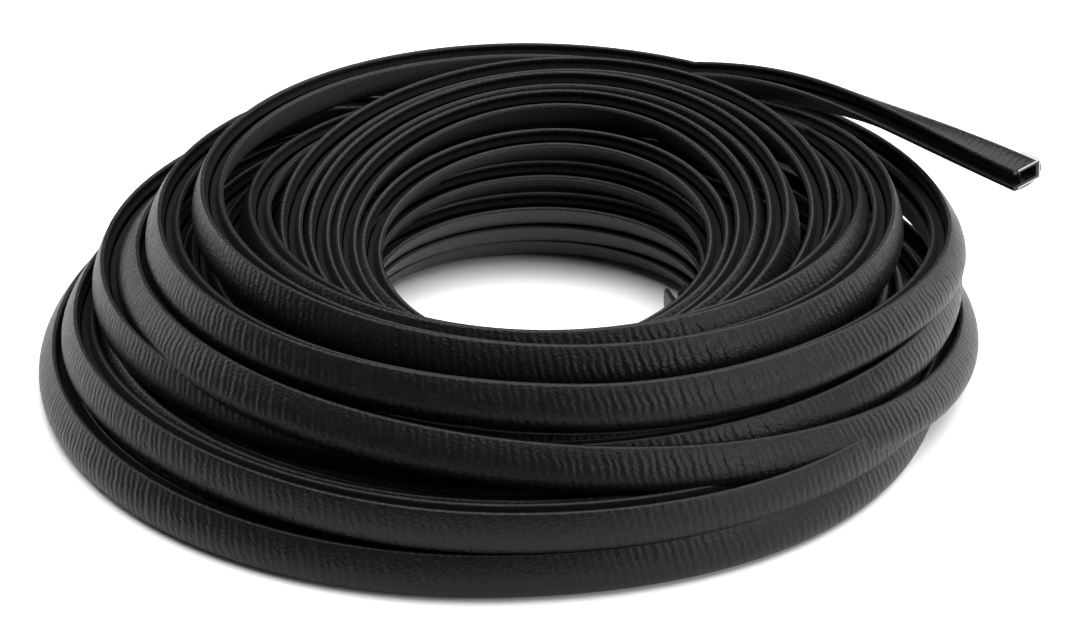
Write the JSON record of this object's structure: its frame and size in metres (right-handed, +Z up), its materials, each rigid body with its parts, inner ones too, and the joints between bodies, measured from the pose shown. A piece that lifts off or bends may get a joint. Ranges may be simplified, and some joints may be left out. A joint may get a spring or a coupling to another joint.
{
  "type": "edge trim seal roll",
  "caption": "Roll of black U-shaped edge trim with a steel carrier in its walls, wound flat with its mouth up, its outer end standing clear of the roll.",
  "frame": {"origin": "on the floor under the middle of the whole roll's box, free end included", "axes": "+Z up along the roll's axis, +X towards the free end's side, the picture's view looks along +Y from the front"},
  "size_m": [0.3522, 0.3178, 0.0694],
  "materials": {
    "black_plastic": "satin black soft PVC with a fine leather-like grain",
    "carrier_steel": "bright sheared steel"
  },
  "bodies": {
    "root": {"edge_trim_coil": "black_plastic", "steel_carrier_outer_end": "carrier_steel", "steel_carrier_inner_end": "carrier_steel"}
  },
  "joints": []
}
